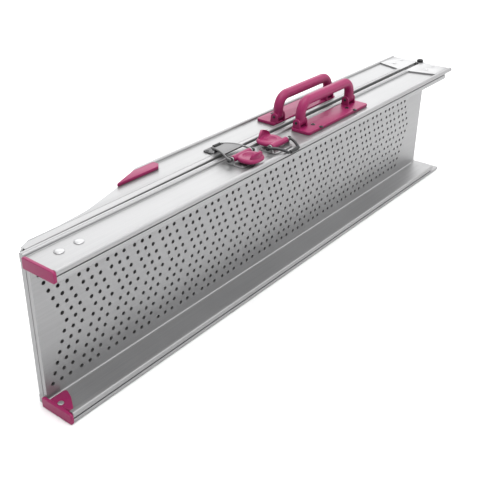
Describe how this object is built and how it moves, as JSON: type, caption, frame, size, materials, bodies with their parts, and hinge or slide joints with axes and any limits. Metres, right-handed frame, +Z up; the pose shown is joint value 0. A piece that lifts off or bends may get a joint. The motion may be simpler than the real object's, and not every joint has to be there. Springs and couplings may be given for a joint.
{
  "type": "portable wheelchair ramp",
  "caption": "Narrow perforated aluminium channel ramp that folds in half and telescopes, stowed on its long side, with swivel carry handles and clamp latches.",
  "frame": {"origin": "middle of the stowed ramp's bounding box, on the surface that it stands on", "axes": "+X along the ramp from its lower end to the fold seam, +Y from the outer channel's open side to the upper section's, +Z up, across the running width"},
  "size_m": [1.0402, 0.1456, 0.276],
  "materials": {
    "aluminium": "satin, mill finish, brushed along the ramp",
    "rivet_metal": "bright",
    "hinge_plate": "satin",
    "steel": "dark plated, satin",
    "magenta_plastic": "smooth moulded, satin gloss",
    "black_plastic": "matte"
  },
  "bodies": {
    "lower_section": {"outer_channel": "aluminium", "mouth_glide_top": "black_plastic", "mouth_glide_bottom": "black_plastic", "glide_rivet_top_1": "rivet_metal", "glide_rivet_top_2": "rivet_metal", "glide_rivet_bottom_1": "rivet_metal", "glide_rivet_bottom_2": "rivet_metal", "hinge_leaf_lower_top": "hinge_plate", "hinge_leaf_lower_bottom": "hinge_plate", "hinge_rivet_lower_top_1": "rivet_metal", "hinge_rivet_lower_top_2": "rivet_metal", "hinge_rivet_lower_bottom_1": "rivet_metal", "hinge_rivet_lower_bottom_2": "rivet_metal", "hinge_bolt_top": "black_plastic", "hinge_bolt_bottom": "steel", "hinge_nut_top": "steel", "hinge_nut_bottom": "steel", "handle_base_lower": "magenta_plastic", "handle_pin_lower_left": "steel", "handle_pin_lower_right": "steel", "slide_latch_base": "hinge_plate", "slide_latch_pin": "steel", "fold_latch_base": "hinge_plate", "fold_latch_pin": "steel"},
    "inner_section": {"inner_channel": "aluminium", "end_cap_top": "magenta_plastic", "end_cap_bottom": "magenta_plastic", "end_cap_rivet_top": "rivet_metal", "end_cap_rivet_bottom": "rivet_metal", "travel_stop_top": "black_plastic", "travel_stop_bottom": "black_plastic", "rear_glide_top": "black_plastic", "rear_glide_bottom": "black_plastic"},
    "upper_section": {"upper_channel": "aluminium", "landing_lip": "aluminium", "rim_wedge_top": "magenta_plastic", "rim_wedge_bottom": "magenta_plastic", "hinge_leaf_upper_top": "hinge_plate", "hinge_leaf_upper_bottom": "hinge_plate", "hinge_rivet_upper_top_1": "rivet_metal", "hinge_rivet_upper_top_2": "rivet_metal", "hinge_rivet_upper_bottom_1": "rivet_metal", "hinge_rivet_upper_bottom_2": "rivet_metal", "handle_base_upper": "magenta_plastic", "handle_pin_upper_left": "steel", "handle_pin_upper_right": "steel", "fold_keeper": "steel"},
    "lower_handle": {"handle_grip_lower": "magenta_plastic"},
    "upper_handle": {"handle_grip_upper": "magenta_plastic"},
    "slide_latch_lever_body": {"slide_latch_lever": "magenta_plastic"},
    "slide_latch_bail_body": {"slide_latch_bail": "steel", "slide_latch_sleeve": "black_plastic"},
    "fold_latch_lever_body": {"fold_latch_lever": "magenta_plastic"},
    "fold_latch_bail_body": {"fold_latch_bail": "hinge_plate", "fold_latch_sleeve": "black_plastic"}
  },
  "joints": [
    {"name": "fold_hinge", "type": "hinge", "parent": "lower_section", "child": "upper_section", "pos_m": [0.5114, 0.00575, 0.1125], "axis": [0, 0, -1], "range_deg": [0, 180]},
    {"name": "telescope_slide", "type": "slide", "parent": "lower_section", "child": "inner_section", "axis": [-1, 0, 0], "range_m": [0, 0.47]},
    {"name": "lower_handle_swivel", "type": "hinge", "parent": "lower_section", "child": "lower_handle", "pos_m": [0.1084, -0.02025, 0.2354], "axis": [1, 0, 0], "range_deg": [0, 90]},
    {"name": "upper_handle_swivel", "type": "hinge", "parent": "upper_section", "child": "upper_handle", "pos_m": [0.1084, 0.02425, 0.2354], "axis": [-1, 0, 0], "range_deg": [0, 90]},
    {"name": "slide_latch_lever", "type": "hinge", "parent": "lower_section", "child": "slide_latch_lever_body", "pos_m": [-0.0546, -0.04075, 0.2295], "axis": [1, 0, 0], "range_deg": [0, 110]},
    {"name": "slide_latch_bail", "type": "hinge", "parent": "lower_section", "child": "slide_latch_bail_body", "pos_m": [-0.0546, -0.04075, 0.2295], "axis": [-1, 0, 0], "range_deg": [0, 110]},
    {"name": "fold_latch_lever", "type": "hinge", "parent": "lower_section", "child": "fold_latch_lever_body", "pos_m": [-0.1276, -0.02475, 0.2295], "axis": [-1, 0, 0], "range_deg": [0, 110]},
    {"name": "fold_latch_bail", "type": "hinge", "parent": "lower_section", "child": "fold_latch_bail_body", "pos_m": [-0.1276, -0.02475, 0.2295], "axis": [1, 0, 0], "range_deg": [0, 110]}
  ]
}
